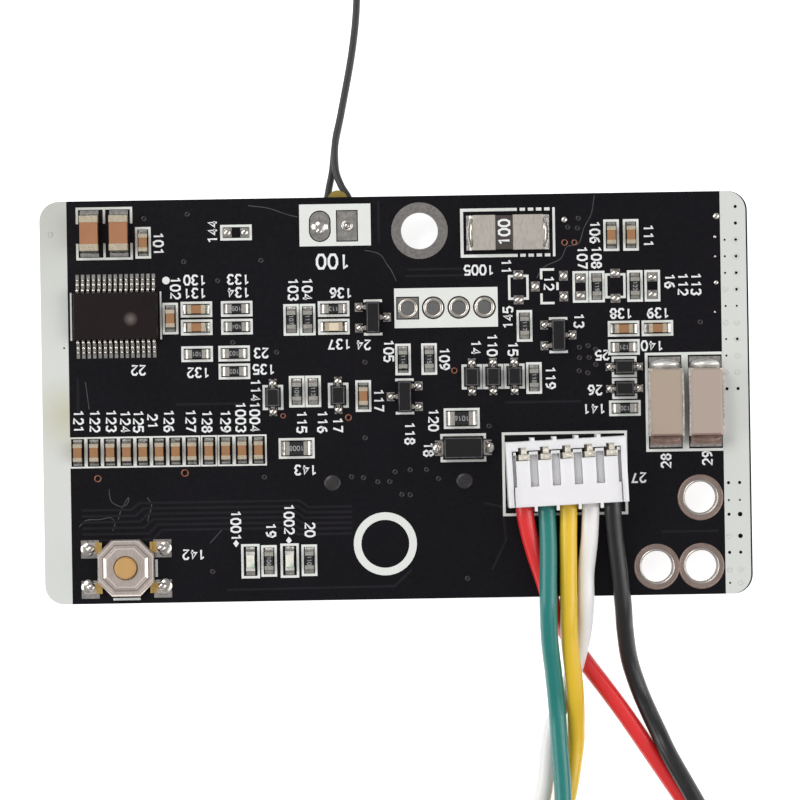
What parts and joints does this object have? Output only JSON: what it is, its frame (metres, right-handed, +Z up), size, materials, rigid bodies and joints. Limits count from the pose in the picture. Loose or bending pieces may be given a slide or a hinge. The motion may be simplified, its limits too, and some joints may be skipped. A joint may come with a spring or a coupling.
{
  "type": "battery management board",
  "caption": "Battery management circuit board with a side-entry wire connector and its leads, a push switch, power holes and a thin temperature sensor lead.",
  "frame": {"origin": "centre of the board and its parts, on the surface that the board lies on; the free leads aren't counted", "axes": "+X along the board's long side towards the power holes, +Y across it towards the sensor lead, +Z up from the fitted side"},
  "size_m": [0.0655, 0.1091, 0.0087],
  "materials": {
    "solder_mask": "semi-gloss black solder mask on glass-epoxy",
    "white_ink": "printed ink",
    "dull_tin": "dull tinned copper",
    "solder": "solder",
    "moulding": "moulded epoxy",
    "tinned_lead": "tin plated",
    "brown_ceramic": "bare ceramic",
    "resistor_coat": "black glaze on ceramic",
    "element_coat": "dark coat over a metal strip",
    "fuse_ceramic": "pale ceramic",
    "silver_cap": "silver plated",
    "lamp_resin": "clear resin",
    "switch_plastic": "moulded nylon",
    "switch_metal": "stamped steel",
    "button_plastic": "tan plastic",
    "white_nylon": "moulded nylon",
    "pin_metal": "tinned brass",
    "red_sleeve": "soft plastic sleeve",
    "teal_sleeve": "soft plastic sleeve",
    "yellow_sleeve": "soft plastic sleeve",
    "white_sleeve": "soft plastic sleeve",
    "black_sleeve": "soft plastic sleeve",
    "grey_sleeve": "enamelled and sleeved thin lead",
    "glue": "set glue",
    "bead_resin": "epoxy drop"
  },
  "bodies": {
    "board": {"circuit_board": "solder_mask", "ink_print": "white_ink", "mounting_ring": "dull_tin", "power_rings": "dull_tin", "header_rings": "dull_tin", "sensor_pads": "solder", "spare_pads": "solder", "solder_joints": "solder", "monitor_chip": "moulding", "monitor_chip_leads": "tinned_lead", "large_capacitors": "brown_ceramic", "large_capacitor_ends": "tinned_lead", "small_capacitors": "brown_ceramic", "small_capacitor_ends": "tinned_lead", "chip_resistors": "resistor_coat", "chip_resistor_ends": "tinned_lead", "shunt_element": "element_coat", "shunt_terminals": "tinned_lead", "fuse_bodies": "fuse_ceramic", "fuse_caps": "silver_cap", "small_diodes": "moulding", "small_diode_leads": "tinned_lead", "transistors": "moulding", "transistor_leads": "tinned_lead", "clamp_diode": "moulding", "clamp_diode_leads": "tinned_lead", "indicator_lamps": "lamp_resin", "indicator_lamp_ends": "tinned_lead", "switch_base": "switch_plastic", "switch_cover": "switch_metal", "switch_dome": "switch_metal", "switch_terminals": "switch_metal", "connector_header": "white_nylon", "connector_pins": "pin_metal", "connector_plug": "white_nylon", "crimp_contacts": "pin_metal", "power_transistors": "moulding", "power_transistor_tabs": "tinned_lead", "controller_chip": "moulding", "controller_chip_leads": "tinned_lead", "balance_resistors": "resistor_coat", "balance_resistor_ends": "tinned_lead", "lead_glue": "glue", "sensor_bead": "bead_resin", "wire_red": "red_sleeve", "wire_teal": "teal_sleeve", "wire_yellow": "yellow_sleeve", "wire_white": "white_sleeve", "wire_black": "black_sleeve", "coil_red": "red_sleeve", "coil_teal": "teal_sleeve", "coil_yellow": "yellow_sleeve", "coil_white": "white_sleeve", "coil_black": "black_sleeve", "sensor_lead_left": "grey_sleeve", "sensor_lead_right": "grey_sleeve", "sensor_coil_left": "grey_sleeve", "sensor_coil_right": "grey_sleeve"},
    "button": {"switch_button": "button_plastic"}
  },
  "joints": [
    {"name": "button_press", "type": "slide", "parent": "board", "child": "button", "axis": [0, 0, -1], "range_m": [0, 0.00025], "stiffness_N_per_m": 20, "deforming": ["switch_dome"]}
  ]
}
